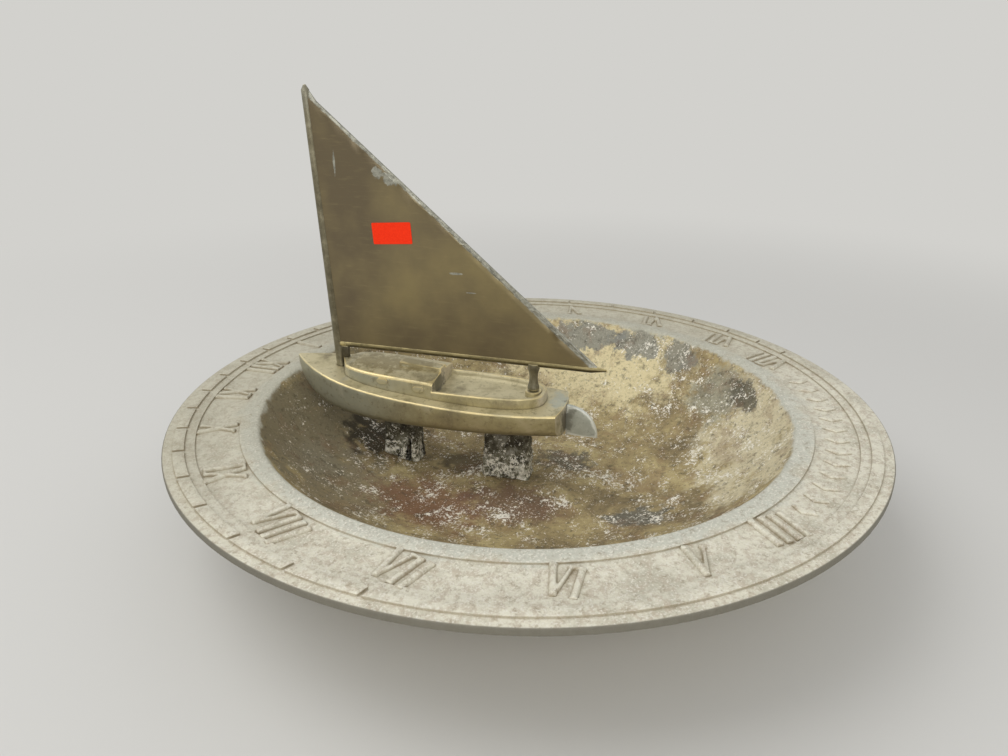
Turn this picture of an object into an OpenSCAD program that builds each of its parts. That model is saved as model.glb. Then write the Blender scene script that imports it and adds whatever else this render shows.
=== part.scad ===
// Sundial: a shallow cast dish with an hour ring on its flat rim, and a small
// catboat on two legs. The sloping after edge of the sail casts the shadow.
// The origin is under the dish's centre, on the surface that it stands on.
// +Y is the noon line and the bow, +X the evening side, +Z up. Sizes in mm.

/* [Dish] */
// Diameter over the rim
dish_d = 356; // [350:1:380]
// Width of the rim, from its outer edge to the bowl's lip
rim_w = 42.5; // [40:0.5:46]
// Depth of the bowl under the rim's top
bowl_depth = 47.5; // [46:0.5:52]
// Diameter of the flat floor inside the bowl
floor_d = 90; // [70:1:100]
// Thickness of the bowl's wall
wall_t = 4; // [3:0.5:5]
// Thickness of the rim at its outer edge
rim_t = 3.4; // [2.8:0.2:5]
// Radius of the rounded lip
lip_round = 2.4; // [1.5:0.1:3]
// Distance of the foot ring's outside inside the lip
foot_in = 51.5; // [40:0.5:54]
// Width of the foot ring where it stands
foot_w = 6; // [4:0.5:9]
// Height of the foot ring under the bowl's flat underside
foot_h = 8.5; // [8:0.5:14]

/* [Hour ring] */
// Latitude that the hour lines are laid out for, in degrees
latitude = 46.5; // [40:0.5:52]
// Distance of the hour lines' meeting point ahead of where the sail's edge points at the rim's plane
origin_lead = 9.8; // [0:0.2:20]
// First hour marked
first_hour = 4; // [4:1:6]
// Last hour marked
last_hour = 20; // [18:1:20]
// Width of the plain border outside the raised blocks
border_w = 4.75; // [3:0.25:6]
// Radial width of the raised blocks
block_w = 5; // [4:0.25:6]
// Height of the raised blocks
block_h = 0.9; // [0.5:0.1:1.5]
// Width of the gap at each half hour
gap_w = 1.7; // [1.2:0.1:2.5]
// Width of the plain strip between the blocks and the sunk band
strip_w = 4.5; // [3:0.25:6]
// Width of the sunk band that holds the numerals
band_w = 19.75; // [16:0.25:21]
// Depth of the sunk band
band_depth = 0.8; // [0.5:0.1:1.5]

/* [Hull] */
// Level gap between the stem and the bowl's lip
bow_gap = 3.3; // [2:0.1:8]
// Length from transom to stem
hull_l = 155; // [145:0.5:165]
// Radius of the transom's curve, seen from above
transom_r = 62; // [50:1:200]
// Greatest beam of the deck
beam = 49.2; // [46:0.2:52]
// Width of the transom
transom_w = 33.6; // [30:0.2:36]
// Width of the stem's flat face
stem_w = 2.6; // [1.6:0.1:3.4]
// Height of the lowest point of the deck edge over the rim's top
sheer_low = -2.1; // [-4:0.1:0]
// Rise of the deck edge from its lowest point to the stem
sheer_rise = 12.1; // [9:0.1:14]
// Depth of the hull from the lowest deck edge to the keel line
hull_depth = 16.5; // [15:0.1:18]
// Rounding of the deck edge
deck_round = 1.1; // [0.6:0.1:1.4]
// Rise of the deck from its edge to its middle
deck_camber = 0.9; // [0.5:0.1:1.4]

/* [Cabin and cockpit] */
// Greatest width of the cabin
cabin_w = 35.6; // [33:0.2:37]
// Distance of the cabin's nose behind the stem
cabin_back = 27.7; // [26:0.1:29]
// Length of the cabin, from its nose to its after wall
cabin_l = 58.5; // [54:0.5:62]
// Length of the cabin's bluff nose, ahead of its fore corners
nose_l = 6.5; // [4:0.5:9]
// Length of deck between the coaming's round end and the transom
stern_deck_l = 10.8; // [9:0.2:12]
// Height of the roof's edge over the rim's top at the after wall
roof_z = 8; // [7:0.1:9]
// Slope of the roof, rising towards the mast, in degrees
roof_slope = 3.2; // [2:0.1:4]
// Rise of the roof's middle over its edges
roof_camber = 1.2; // [0.8:0.1:2]
// Rounding of the roof's edge
roof_round = 1.8; // [1:0.1:2.4]
// Height of the coaming over the rim's top
coaming_z = 3.9; // [3.4:0.1:4.6]
// Thickness of the coaming at its top
coaming_t = 1.8; // [1.6:0.1:2.4]
// Width that the cockpit's sides lose between the coaming's top and the floor
cockpit_flare = 2.6; // [1:0.1:3.5]
// Height of the cockpit's floor over the rim's top
cockpit_z = 1; // [0.6:0.1:1.6]
// Length of a portlight
port_l = 6.2; // [5:0.1:7.5]
// Height of a portlight
port_h = 3; // [2.4:0.1:3.4]
// Distance of the after portlight ahead of the cabin's after wall
port_fore = 7.5; // [6:0.5:12]
// Distance between the portlights
port_step = 20.5; // [14:0.5:24]
// Length of the sliding hatch
hatch_l = 24; // [16:0.5:28]
// Width of the sliding hatch
hatch_w = 7.4; // [6:0.2:12]
// Height of the sliding hatch over the roof
hatch_h = 2; // [0.8:0.1:2.4]
// Distance of the hatch's middle from the centreline, to starboard
hatch_off = 1.5; // [0:0.1:3]

/* [Rig] */
// Height of the masthead over the point where the sail's after edge meets the mast
mast_past = 3; // [2.6:0.1:5]
// Diameter of the mast at its foot
mast_d = 5.2; // [4.4:0.1:6]
// Diameter of the mast at its head
masthead_d = 4; // [3:0.1:4.4]
// Distance of the mast's foot behind the stem
mast_back = 26.2; // [25:0.1:28]
// Depth of the mast's step in the hull
mast_step = 8; // [5:0.5:10]
// Lean of the mast towards the bow, in degrees
mast_rake = 2.7; // [0:0.1:4]
// Length of the knee behind the mast, between the roof and the boom
knee_l = 3; // [2:0.1:4]
// Thickness of the knee
knee_t = 2.4; // [1.8:0.1:3]
// Thickness of the sail
sail_t = 2.7; // [2.2:0.1:3.2]
// Slope of the sail's after edge, in degrees
sail_slope = 40.6; // [40:0.1:42]
// Distance of the sail's after corner behind the transom
clew_past = 16.5; // [14:0.5:20]
// Width of the sail's head, from the middle of the mast
head_w = 5.5; // [4:0.1:7]
// Width of the bevels along the sail's after edge
bevel_w = 2.2; // [1:0.1:3]
// Thickness left between the bevels
bevel_t = 1.3; // [0.8:0.1:1.8]
// Diameter of the boom
boom_d = 3.7; // [3.3:0.1:4.2]
// Height of the boom's middle over the rim's top
boom_z = 19.3; // [18.5:0.1:20.5]
// Length of the boom past the sail's corner
boom_past = 3.6; // [2:0.1:5]
// Length of the boom's tapered end
boom_taper = 8; // [6:0.5:12]
// Diameter of the boom crutch at its foot and head
crutch_d = 6.2; // [5.4:0.1:7]
// Diameter of the boom crutch at its waist
crutch_waist = 4.4; // [3.8:0.1:5]
// Distance of the crutch ahead of the transom
crutch_fore = 18.1; // [17.5:0.1:22]
// Height of the pad under the crutch over the cockpit's floor
pad_h = 3.8; // [2:0.1:4.4]

/* [Rudder] */
// Radius of the rudder's round edge
rudder_r = 16.8; // [14:0.2:18]
// Thickness of the rudder
rudder_t = 2.4; // [2:0.1:3]
// Height of the rudder's head under the deck at the transom
rudder_drop = 0.6; // [0.2:0.1:1.5]
// Depth of the rudder's tang in the transom
tang_l = 4; // [3:0.5:6]
// Height of the rudder's tang
tang_h = 9.8; // [6:0.2:10]
// Height of the tang over the rudder's lower end
tang_lift = 3; // [2:0.2:5]

/* [Legs and fastenings] */
// Length of the rear leg at its foot
rear_leg_l = 27; // [24:0.5:30]
// Distance of the rear leg's middle ahead of the transom
rear_leg_fore = 31.8; // [28:0.2:36]
// Length of the front leg at its foot
front_leg_l = 21.5; // [19:0.5:25]
// Distance of the front leg's middle behind the stem
front_leg_back = 61.7; // [60:0.1:66]
// Width of both legs at their feet
leg_w = 15; // [14:0.5:17]
// Draft of the legs' sides, from foot to top
leg_draft = 1.4; // [0.4:0.1:2]
// Corner radius of the legs
leg_round = 3; // [1.5:0.1:4]
// Diameter of the hold-down studs
stud_d = 5; // [4:0.5:6]
// Length of stud inside the hull
stud_grip = 8; // [6:0.5:10]
// Length of stud showing past its nut
stud_tip = 0.8; // [0.4:0.1:1]
// Clearance round a stud, mast or tang in its hole
hole_gap = 0.15; // [0.1:0.05:0.3]
// Diameter of the cast pads under the dish
boss_d = 14; // [13:0.5:18]
// Height of the cast pads under the dish's flat underside
boss_h = 0.8; // [0.5:0.1:1.2]
// Outer diameter of the washers
washer_d = 11; // [10:0.5:13]
// Thickness of the washers
washer_t = 1.2; // [0.8:0.1:1.4]
// Width across the flats of the nuts
nut_af = 8; // [8:0.5:10]
// Thickness of the nuts
nut_t = 3.2; // [2.7:0.1:3.4]

/* [Hidden] */
$fn = 96;
// How far hidden cuts and joints run past a face, and the same where a hair is enough
over = 1;
eps = 0.01;

// Dish: heights over the surface that it stands on, and radii
rim_r = dish_d / 2;
lip_r = rim_r - rim_w;
floor_r = floor_d / 2;
underside_z = foot_h;
floor_z = underside_z + wall_t;
rim_z = floor_z + bowl_depth;
rim_round = 0.7;
// The wall is an arc that leaves the floor level and ends at the lip
wall_r = (pow(lip_r - floor_r, 2) + pow(bowl_depth, 2)) / (2 * bowl_depth);
wall_cz = floor_z + wall_r;
// Centre of the rounded lip, which touches the rim's top and the wall
wall_c = [floor_r, wall_cz];
lip_c = [floor_r + sqrt(pow(wall_r + lip_round, 2) - pow(wall_cz - rim_z + lip_round, 2)),
    rim_z - lip_round];
lip_touch = wall_c + (lip_c - wall_c) * wall_r / (wall_r + lip_round);
foot_ro = lip_r - foot_in;
foot_ri = foot_ro - foot_w;
foot_draft = 1.5;
foot_top = wall_cz - sqrt(pow(wall_r + wall_t / 2, 2) - pow(foot_ro - floor_r, 2));
block_r = rim_r - border_w;
band_r = block_r - block_w - strip_w;

// Hull: stations run from the transom to the stem
bow_y = lip_r - bow_gap;
stern_y = bow_y - hull_l;
deck_low_z = rim_z + sheer_low;
stem_top_z = deck_low_z + sheer_rise;
keel_z = deck_low_z - hull_depth;
widest_y = stern_y + 0.465 * hull_l;
sheer_low_y = stern_y + 0.17 * hull_l;
forefoot_y = stern_y + 0.6 * hull_l;
keel_low_y = stern_y + 0.53 * hull_l;
stern_sheer = 0.6;
stern_keel = 2.6;
bow_fullness = 3.35;
stern_fullness = 2.3;
stem_fullness = 2.5;
flat_share = 0.38;
bilge_share = 0.5;
tumble_share = 0.97;
stations = 26;
deck_shares = [0.8, 0.55, 0.28];
stem_rake = 0.3;
// Bottom of what stands on the deck, before the deck is cut from it
sunk_z = keel_z + hull_depth / 4;

function half_beam(y) = y < widest_y
    ? beam / 2 - (beam - transom_w) / 2 * pow((widest_y - y) / (widest_y - stern_y), stern_fullness)
    : stem_w / 2 + (beam - stem_w) / 2 * (1 - pow((y - widest_y) / (bow_y - widest_y), bow_fullness));
function sheer(y) = y < sheer_low_y
    ? deck_low_z + stern_sheer * pow((sheer_low_y - y) / (sheer_low_y - stern_y), 2)
    : deck_low_z + sheer_rise * pow((y - sheer_low_y) / (bow_y - sheer_low_y), 2);
function stem_curve(u) = 1 - pow(1 - pow(u, stem_fullness), 1 / stem_fullness);
function keel_aft(y) = keel_z + stern_keel * pow(max(0, keel_low_y - y) / (keel_low_y - stern_y), 2);
function keel(y) = y < forefoot_y ? keel_aft(y)
    : keel_z + (stem_top_z - keel_z) * stem_curve((y - forefoot_y) / (bow_y + stem_rake - forefoot_y));
function camber(y) = deck_camber * pow(2 * half_beam(y) / beam, 2);
function deck_z(y, share) = sheer(y) + camber(y) * (1 - share * share);
function station(i) = stern_y + hull_l * sin(90 * i / stations);

// Deck points of one station, from the rounded edge to the middle
function deck_half(y, b) = [for (s = deck_shares) [s * (b - edge_round(b)), deck_z(y, s)]];
function edge_round(b) = min(deck_round, 0.45 * b);
function side_half(b, f, zb, zs) = let (zk = zb + bilge_share * (zs - zb), r = edge_round(b))
    concat([[f, zb]],
        [for (t = [18:18:90]) [f + (tumble_share * b - f) * sin(t), zb + (zk - zb) * (1 - cos(t))]],
        [for (t = [0:30:90]) [b - r + r * cos(t), zs - r + r * sin(t)]]);
function mirrored(half) = [for (i = [len(half) - 1:-1:0]) [-half[i][0], half[i][1]]];
function section(y) = let (b = half_beam(y),
        right = concat(side_half(b, flat_share * b, keel(y), sheer(y)), deck_half(y, b)))
    [for (p = concat(right, [[0, deck_z(y, 0)]], mirrored(right))) [p[0], y, p[1]]];
// The solid under the deck's surface, for what seats on the deck
function deck_section(y) = let (b = half_beam(y),
        right = concat([[b - edge_round(b), sheer(y)]], deck_half(y, b)))
    [for (p = concat([[b, keel_z], [b, sheer(y) - deck_round]], right, [[0, deck_z(y, 0)]], mirrored(right),
        [[-b, sheer(y) - deck_round], [-b, keel_z]])) [p[0], y, p[1]]];

module skin(rings) {
    n = len(rings[0]);
    last = (len(rings) - 1) * n;
    polyhedron(
        points = [for (r = rings) each r],
        faces = concat(
            [[for (j = [n - 1:-1:0]) j]],
            [for (i = [0:len(rings) - 2], j = [0:n - 1]) let (a = i * n + j, b = i * n + (j + 1) % n)
                [a, b, b + n, a + n]],
            [[for (j = [0:n - 1]) last + j]]),
        convexity = 4);
}

// Cabin and cockpit: half width of the outline, widest at the bulkhead
nose_fullness = 1.2;
side_fullness = 5.5;
side_reach = 12;
cabin_nose_y = bow_y - cabin_back;
cabin_corner_y = cabin_nose_y - nose_l;
bulkhead_y = cabin_nose_y - cabin_l;
coaming_end_y = stern_y + stern_deck_l;
function cabin_half(y) = y > cabin_corner_y
    ? cabin_half(cabin_corner_y) * (1 - pow((y - cabin_corner_y) / nose_l, nose_fullness))
    : y > bulkhead_y
    ? cabin_w / 2 * (1 - pow((y - bulkhead_y) / (cabin_l - nose_l + side_reach), side_fullness))
    : cabin_w / 2 * pow(1 - pow((bulkhead_y - y) / (bulkhead_y - coaming_end_y), 3), 1 / 3);
coaming_steps = 16;
function coaming_side_y(i) = bulkhead_y - (bulkhead_y - coaming_end_y) * cos(90 * i / coaming_steps);
coaming_side = [for (i = [0:coaming_steps]) [cabin_half(coaming_side_y(i)), coaming_side_y(i)]];

// The coaming's outline at one height, drawn in square to itself and carried past the bulkhead
function drawn_in(i, inset) = i == 0 ? [0, coaming_end_y + inset]
    : i == coaming_steps ? coaming_side[i] - [inset, 0]
    : let (t = coaming_side[i + 1] - coaming_side[i - 1]) coaming_side[i] - inset * [t[1], -t[0]] / norm(t);
function coaming_ring(inset, z, past = 0) = let (
        half = concat([for (i = [0:coaming_steps]) drawn_in(i, inset)],
            past > 0 ? [drawn_in(coaming_steps, inset) + [0, past]] : []), n = len(half))
    concat([for (i = [n - 1:-1:0]) [half[i][0], half[i][1], z]],
        [for (i = [1:n - 1]) [-half[i][0], half[i][1], z]]);

coaming_top = rim_z + coaming_z;
coaming_round = 0.8;
coaming_lean = 0.5;
coaming_past = 0.4;
cockpit_floor = rim_z + cockpit_z;

// Roof: its edge rises towards the mast, which hides the point of the nose
roof_tumble = 1.4;
nose_tip = 0.8;
function roof_line(y) = rim_z + roof_z + (y - bulkhead_y) * tan(roof_slope);
function trunk_section(y) = let (b = max(cabin_half(y), nose_tip), f = 2 * b / cabin_w,
        r = min(roof_round, b / 3), t = roof_tumble * f, z = roof_line(y), top = roof_camber * f * f,
        right = concat(
            [[b, sunk_z], [b, deck_low_z]],
            [for (a = [0:22.5:90]) [b - t - r + r * cos(a), z - r + r * sin(a)]],
            [for (s = [0.75, 0.5, 0.25]) [s * (b - t - r), z + top * (1 - s * s)]]))
    [for (p = concat(right, [[0, z + top]], mirrored(right))) [p[0], y, p[1]]];
trunk_steps = 18;
nose_steps = 8;
side_l = cabin_l - nose_l;
function trunk_y(i) = i < trunk_steps ? bulkhead_y + side_l * sin(90 * i / trunk_steps)
    : cabin_corner_y + nose_l * (i - trunk_steps) / nose_steps;
port_proud = 0.5;
port_drop = 3.9;
port_rise = 1;

// Rig: the mast leans about its foot, and the leech runs from masthead to clew
mast_y = bow_y - mast_back;
mast_foot = sheer(mast_y) - mast_step;
clew_y = stern_y - clew_past;
boom_axis = rim_z + boom_z;
function mast_middle_y(z) = mast_y + (z - mast_foot) * tan(mast_rake);
function leech_z(y) = boom_axis + (y - clew_y) * tan(sail_slope);
masthead = mast_past + leech_z(mast_middle_y(0)) / (1 - tan(mast_rake) * tan(sail_slope));
masthead_y = mast_middle_y(masthead);
mast_l = (masthead - mast_foot) / cos(mast_rake);
mast_cap = 2.4;
tip_d = 1.2;
gooseneck_y = mast_middle_y(boom_axis);
throat_y = masthead_y - head_w;
leech_l = (masthead - boom_axis) / sin(sail_slope);
knee_y = mast_middle_y(roof_line(mast_y)) - mast_d / 2 - knee_l;
seat_gap = 0.05;
boom_end_y = clew_y - boom_past;
crutch_y = stern_y + crutch_fore;
crutch_foot = cockpit_floor + pad_h;
crutch_seat = 1;
crutch_pad = 1.2;
// The hour lines meet near the point at which the sail's after edge would reach the rim's plane
hour_y = clew_y - boom_z / tan(sail_slope) + origin_lead;

// Legs and fastenings
boss_z = underside_z - boss_h;
washer_z = boss_z - washer_t;
nut_z = washer_z - nut_t;
stud_z = nut_z - stud_tip;
front_leg_y = bow_y - front_leg_back;
rear_leg_y = stern_y + rear_leg_fore;
stud_ys = [front_leg_y, rear_leg_y];
hole_d = stud_d + 2 * hole_gap;
hole_end = 0.6;
leg_sunk = 6;
leg_top = keel_z + leg_sunk;

module dish_profile() {
    difference() {
        union() {
            translate([0, rim_z - rim_t]) square([rim_r - rim_round, rim_t]);
            translate([0, rim_z - rim_t + rim_round]) square([rim_r, rim_t - 2 * rim_round]);
            translate([rim_r - rim_round, rim_z - rim_round]) circle(r = rim_round, $fn = 48);
            translate([rim_r - rim_round, rim_z - rim_t + rim_round]) circle(r = rim_round, $fn = 48);
            translate([0, underside_z]) square([floor_r, bowl_depth]);
            intersection() {
                translate([floor_r, wall_cz]) circle(r = wall_r + wall_t, $fn = 256);
                translate([floor_r - eps, 0]) square([rim_r, rim_z - over]);
            }
            polygon([[foot_ri, 0], [foot_ro, 0], [foot_ro + foot_draft, foot_top],
                [foot_ri - foot_draft, foot_top]]);
        }
        intersection() {
            translate([floor_r, wall_cz]) circle(r = wall_r, $fn = 256);
            translate([floor_r - eps, floor_z]) square([rim_r, wall_r]);
        }
        translate([-eps, floor_z]) square([floor_r + eps, wall_r]);
        difference() {
            polygon([lip_touch, [lip_c[0], rim_z], [lip_c[0], rim_z + over],
                [lip_touch[0] - wall_t, rim_z + over], [lip_touch[0] - wall_t, lip_touch[1]]]);
            translate(lip_c) circle(r = lip_round, $fn = 64);
        }
        translate([band_r - band_w, rim_z - band_depth]) square([band_w, band_depth + over]);
    }
}

// Direction of an hour's shadow from the meeting point, in degrees east of noon
function hour_angle(h) = atan2(sin(latitude) * sin(15 * (h - 12)), cos(15 * (h - 12)));

module hour_blocks() {
    difference() {
        rotate_extrude() translate([block_r - block_w, rim_z - over]) square([block_w, block_h + over]);
        for (h = [first_hour:0.5:last_hour])
            translate([0, hour_y, rim_z]) rotate([0, 0, -hour_angle(h)])
                translate([-gap_w / 2, 0, -2 * over]) cube([gap_w, dish_d, block_h + 3 * over]);
    }
}

module dish() {
    color("#B9B3A6") difference() {
        union() {
            rotate_extrude() dish_profile();
            hour_blocks();
            for (y = stud_ys)
                translate([0, y, boss_z]) cylinder(d = boss_d, h = wall_t + boss_h - over);
        }
        for (y = stud_ys)
            translate([0, y, 0]) cylinder(d = hole_d, h = rim_z);
    }
}

module cavity() {
    rotate_extrude() {
        translate([0, floor_z]) square([floor_r, rim_z - floor_z]);
        intersection() {
            translate([floor_r, wall_cz]) circle(r = wall_r, $fn = 256);
            translate([floor_r - eps, floor_z]) square([rim_r, rim_z - floor_z]);
        }
    }
}

module hull_body() {
    intersection() {
        skin([for (i = [0:stations]) section(station(i))]);
        union() {
            translate([0, stern_y + transom_r, 0]) cylinder(r = transom_r, h = 2 * rim_z, $fn = 360);
            translate([-beam, stern_y + transom_r, 0]) cube([2 * beam, hull_l, 2 * rim_z]);
        }
    }
}

module under_deck() {
    skin([for (i = [0:stations]) deck_section(station(i))]);
}

module mast_shape(gap = 0) {
    translate([0, mast_y, mast_foot - gap]) rotate([-mast_rake, 0, 0]) {
        cylinder(d1 = mast_d + 2 * gap, d2 = masthead_d + 2 * gap, h = mast_l - mast_cap);
        translate([0, 0, mast_l - mast_cap]) cylinder(d1 = masthead_d + 2 * gap, d2 = tip_d, h = mast_cap);
    }
}

module rudder_tang(gap) {
    head_z = sheer(stern_y) - rudder_drop;
    translate([-rudder_t / 2 - gap, stern_y - eps, head_z - rudder_r + tang_lift - gap])
        cube([rudder_t + 2 * gap, tang_l + gap, tang_h + 2 * gap]);
}

module boat_hull() {
    color("#9A8C66") difference() {
        hull_body();
        for (y = stud_ys)
            translate([0, y, keel_z - over]) cylinder(d = hole_d, h = over + stud_grip + hole_end);
        mast_shape(hole_gap);
        rudder_tang(hole_gap);
    }
}

module trunk() {
    skin([for (i = [0:trunk_steps + nose_steps]) trunk_section(trunk_y(i))]);
}

// Portlight number i on each side; the fore one sits a little nearer the roof
module portlight(i) {
    y = bulkhead_y + port_fore + i * port_step;
    half = cabin_half(y) - roof_tumble / 2;
    straight = port_l - port_h;
    for (s = [-1, 1])
        translate([s * (half - over), y, roof_line(y) - port_drop + i * port_rise]) rotate([0, s * 90, 0])
            linear_extrude(over + port_proud) {
                for (e = [-1, 1]) translate([0, e * straight / 2]) circle(d = port_h, $fn = 32);
                square([port_h, straight], center = true);
            }
}

module hatch() {
    intersection() {
        translate([0, 0, hatch_h]) trunk();
        translate([hatch_off - hatch_w / 2, bulkhead_y, rim_z]) cube([hatch_w, hatch_l, rim_z]);
    }
}

module coaming() {
    skin(concat(
        [coaming_ring(0, sunk_z, coaming_past), coaming_ring(0, deck_low_z, coaming_past)],
        [for (a = [0:30:90]) coaming_ring(coaming_lean + coaming_round * (1 - cos(a)),
            coaming_top - coaming_round * (1 - sin(a)), coaming_past)]));
}

module cockpit() {
    inset = coaming_lean + coaming_t;
    skin([coaming_ring(inset + cockpit_flare, cockpit_floor), coaming_ring(inset, coaming_top),
        coaming_ring(inset, 2 * rim_z)]);
}

module cabin() {
    color("#A39468") difference() {
        union() {
            trunk();
            coaming();
            hatch();
            for (i = [0, 1]) portlight(i);
        }
        difference() {
            cockpit();
            translate([0, crutch_y, 0]) cylinder(d = crutch_d + 2 * crutch_pad, h = crutch_foot);
        }
        under_deck();
        mast_shape(hole_gap);
        translate([0, crutch_y, crutch_foot - crutch_seat - hole_gap])
            cylinder(d = crutch_waist + 2 * hole_gap, h = boom_z);
    }
}

function roof_middle_z(y) = roof_line(y) + roof_camber * pow(2 * cabin_half(y) / cabin_w, 2);

module mast() {
    color("#8C7E5C") {
        mast_shape();
        difference() {
            rotate([90, 0, 90]) translate([0, 0, -knee_t / 2]) linear_extrude(knee_t)
                polygon([[knee_y, boom_axis], [knee_y, roof_middle_z(knee_y) + seat_gap],
                    [mast_y - mast_d / 2, roof_middle_z(mast_y - mast_d / 2) + seat_gap],
                    [mast_y, roof_middle_z(mast_y - mast_d / 2) + seat_gap], [gooseneck_y, boom_axis]]);
            boom_shape();
        }
    }
}

module boom_shape() {
    translate([0, gooseneck_y, boom_axis]) rotate([90, 0, 0])
        cylinder(d = boom_d, h = gooseneck_y - boom_end_y - boom_taper);
    translate([0, boom_end_y + boom_taper + eps, boom_axis]) rotate([90, 0, 0])
        cylinder(d1 = boom_d, d2 = tip_d, h = boom_taper);
}

module boom() {
    color("#B59E62") difference() {
        boom_shape();
        mast_shape();
    }
}

module leech_bevels() {
    bevel_angle = atan((sail_t - bevel_t) / 2 / bevel_w);
    bevel_over = 4 * boom_d;
    translate([0, clew_y, boom_axis]) rotate([sail_slope, 0, 0])
        for (s = [-1, 1])
            translate([s * bevel_t / 2, 0, 0]) rotate([0, -s * bevel_angle, 0])
                translate([s > 0 ? 0 : -sail_t, -bevel_over, -2 * bevel_w])
                    cube([sail_t, leech_l + 2 * bevel_over, 4 * bevel_w]);
}

module sail() {
    color("#7F6B45") difference() {
        rotate([90, 0, 90]) translate([0, 0, -sail_t / 2]) linear_extrude(sail_t)
            polygon([[gooseneck_y, boom_axis], [masthead_y, masthead - mast_cap],
                [masthead_y - masthead_d / 2, masthead - mast_cap], [throat_y, leech_z(throat_y)],
                [clew_y, boom_axis]]);
        leech_bevels();
        mast_shape();
        boom_shape();
    }
}

module boom_crutch() {
    crutch_l = boom_axis - crutch_foot;
    color("#8B8A80") difference() {
        translate([0, crutch_y, crutch_foot]) {
            rotate_extrude() difference() {
                square([crutch_d / 2, crutch_l]);
                translate([crutch_waist / 2 + crutch_l, crutch_l * 0.45]) circle(r = crutch_l, $fn = 128);
            }
            translate([0, 0, -crutch_seat]) cylinder(d = crutch_waist, h = crutch_seat + eps);
        }
        boom_shape();
    }
}

module rudder() {
    head_z = sheer(stern_y) - rudder_drop;
    color("#A9AFB0") {
        intersection() {
            rotate([90, 0, 90]) translate([0, 0, -rudder_t / 2]) linear_extrude(rudder_t)
                translate([stern_y, head_z - rudder_r]) circle(r = rudder_r, $fn = 128);
            translate([-rudder_t, stern_y - rudder_r - over, head_z - rudder_r])
                cube([2 * rudder_t, rudder_r + over, rudder_r + over]);
        }
        rudder_tang(0);
    }
}

module leg(y, length) {
    difference() {
        intersection() {
            hull() for (sx = [-1, 1], sy = [-1, 1]) {
                foot_x = leg_w / 2 - leg_round;
                foot_y = length / 2 - leg_round;
                translate([sx * foot_x, y + sy * foot_y, floor_z - over])
                    cylinder(r = leg_round, h = over, $fn = 32);
                translate([sx * (foot_x - leg_draft), y + sy * (foot_y - leg_draft), leg_top - over])
                    cylinder(r = leg_round, h = over, $fn = 32);
            }
            cavity();
        }
        hull_body();
        translate([0, y, 0]) cylinder(d = hole_d, h = rim_z);
    }
}

module front_leg() {
    color("#4E4B47") leg(front_leg_y, front_leg_l);
}

module rear_leg() {
    color("#55524D") leg(rear_leg_y, rear_leg_l);
}

module hold_down_studs() {
    color("#8F9295") for (y = stud_ys)
        translate([0, y, stud_z]) cylinder(d = stud_d, h = keel_z + stud_grip - stud_z);
}

module hold_down_washers() {
    color("#A0A3A6") for (y = stud_ys)
        translate([0, y, washer_z]) difference() {
            cylinder(d = washer_d, h = washer_t);
            translate([0, 0, -over]) cylinder(d = hole_d, h = washer_t + 2 * over);
        }
}

module hold_down_nuts() {
    color("#9A9DA0") for (y = stud_ys)
        translate([0, y, nut_z]) difference() {
            cylinder(d = nut_af / cos(30), h = nut_t, $fn = 6);
            translate([0, 0, -over]) cylinder(d = stud_d + eps, h = nut_t + 2 * over);
        }
}

dish();
boat_hull();
cabin();
mast();
sail();
boom();
boom_crutch();
rudder();
front_leg();
rear_leg();
hold_down_studs();
hold_down_washers();
hold_down_nuts();
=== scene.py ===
import math

import bmesh
import bpy
from mathutils import Matrix, Vector, kdtree


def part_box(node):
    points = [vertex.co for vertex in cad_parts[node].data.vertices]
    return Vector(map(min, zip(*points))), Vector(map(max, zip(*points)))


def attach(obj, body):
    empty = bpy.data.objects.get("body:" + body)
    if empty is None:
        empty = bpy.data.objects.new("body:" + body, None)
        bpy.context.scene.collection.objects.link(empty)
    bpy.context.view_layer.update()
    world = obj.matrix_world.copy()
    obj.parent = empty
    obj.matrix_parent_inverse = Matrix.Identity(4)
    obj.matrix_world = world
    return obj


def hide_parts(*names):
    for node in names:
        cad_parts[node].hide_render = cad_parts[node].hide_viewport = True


mm = 0.001  # sizes below are in millimetres, Blender's unit is the metre

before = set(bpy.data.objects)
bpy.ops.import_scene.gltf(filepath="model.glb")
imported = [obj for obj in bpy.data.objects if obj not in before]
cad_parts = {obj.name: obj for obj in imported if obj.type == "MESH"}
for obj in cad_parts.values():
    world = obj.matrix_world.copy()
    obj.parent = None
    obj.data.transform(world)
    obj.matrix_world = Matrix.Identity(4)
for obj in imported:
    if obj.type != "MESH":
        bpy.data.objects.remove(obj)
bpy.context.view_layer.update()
bpy.ops.object.select_all(action="DESELECT")
blockHigh = 0.9  # how far the dish's raised blocks stand over the flat of its rim
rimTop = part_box("dish")[1].z / mm - blockHigh
print("frame loaded:", len(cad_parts), "nodes, rim at", round(rimTop, 2), "mm")


# Camera and room

cameraView = {
    "eye": (-356.1, -90.7, 225.8),  # where the lens stands
    "look": (0.8852, 0.2538, -0.3898),  # which way it points
    "roll": 0.09,  # degrees
    "lens": 27.143,  # focal length on a 36 mm wide sensor
}

roomLook = {
    "floorColour": "#D2D1CD",
    "floorSize": 12000,
    "backColour": "#D2D1CD",
    "fadeFrom": 350,  # the floor turns into the plain backdrop between these distances
    "fadeTo": 900,
    "worldStrength": 0.58,
    "keyEnergy": 9.5,  # watts, a large soft lamp high up beyond the bow
    "keySize": 1200,
    "keyPlace": (-250, 800, 1400),
    "fillEnergy": 9,  # watts, a lower one on the camera's side
    "fillSize": 1200,
    "fillPlace": (-1300, -500, 650),
}


def hexToLinear(code):
    # sRGB hex to the linear colour that the shaders take
    parts = [int(code[i:i + 2], 16) / 255 for i in (1, 3, 5)]
    return tuple(p / 12.92 if p <= 0.04045 else ((p + 0.055) / 1.055) ** 2.4 for p in parts) + (1.0,)


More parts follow.
